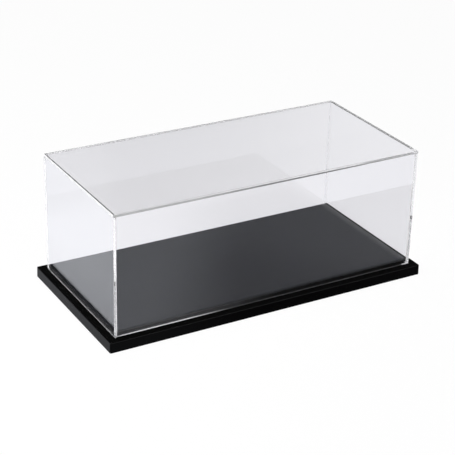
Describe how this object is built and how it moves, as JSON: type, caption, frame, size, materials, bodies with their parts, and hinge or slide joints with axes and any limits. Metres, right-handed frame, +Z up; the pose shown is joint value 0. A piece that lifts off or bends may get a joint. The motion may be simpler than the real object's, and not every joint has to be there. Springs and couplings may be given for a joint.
{
  "type": "display case",
  "caption": "Clear glued-sheet acrylic box cover that lifts off a low black moulded plinth with a raised deck, to show a scale model free of dust",
  "frame": {"origin": "on the table, under the middle of the plinth", "axes": "X along the length, right as seen from the front; Y from front to back; Z up"},
  "size_m": [0.336, 0.166, 0.13],
  "materials": {
    "black_moulding": "satin",
    "clear_acrylic": "polished",
    "set_cement": "satin"
  },
  "bodies": {
    "base": {"plinth": "black_moulding"},
    "cover": {"top_panel": "clear_acrylic", "front_panel": "clear_acrylic", "rear_panel": "clear_acrylic", "left_panel": "clear_acrylic", "right_panel": "clear_acrylic", "seam_front_left": "set_cement", "seam_front_right": "set_cement", "seam_rear_left": "set_cement", "seam_rear_right": "set_cement", "seam_top_front": "set_cement", "seam_top_rear": "set_cement", "seam_top_left": "set_cement", "seam_top_right": "set_cement"}
  },
  "joints": [
    {"name": "cover_lift", "type": "slide", "parent": "base", "child": "cover", "axis": [0, 0, 1], "range_m": [0, 0.15]}
  ]
}
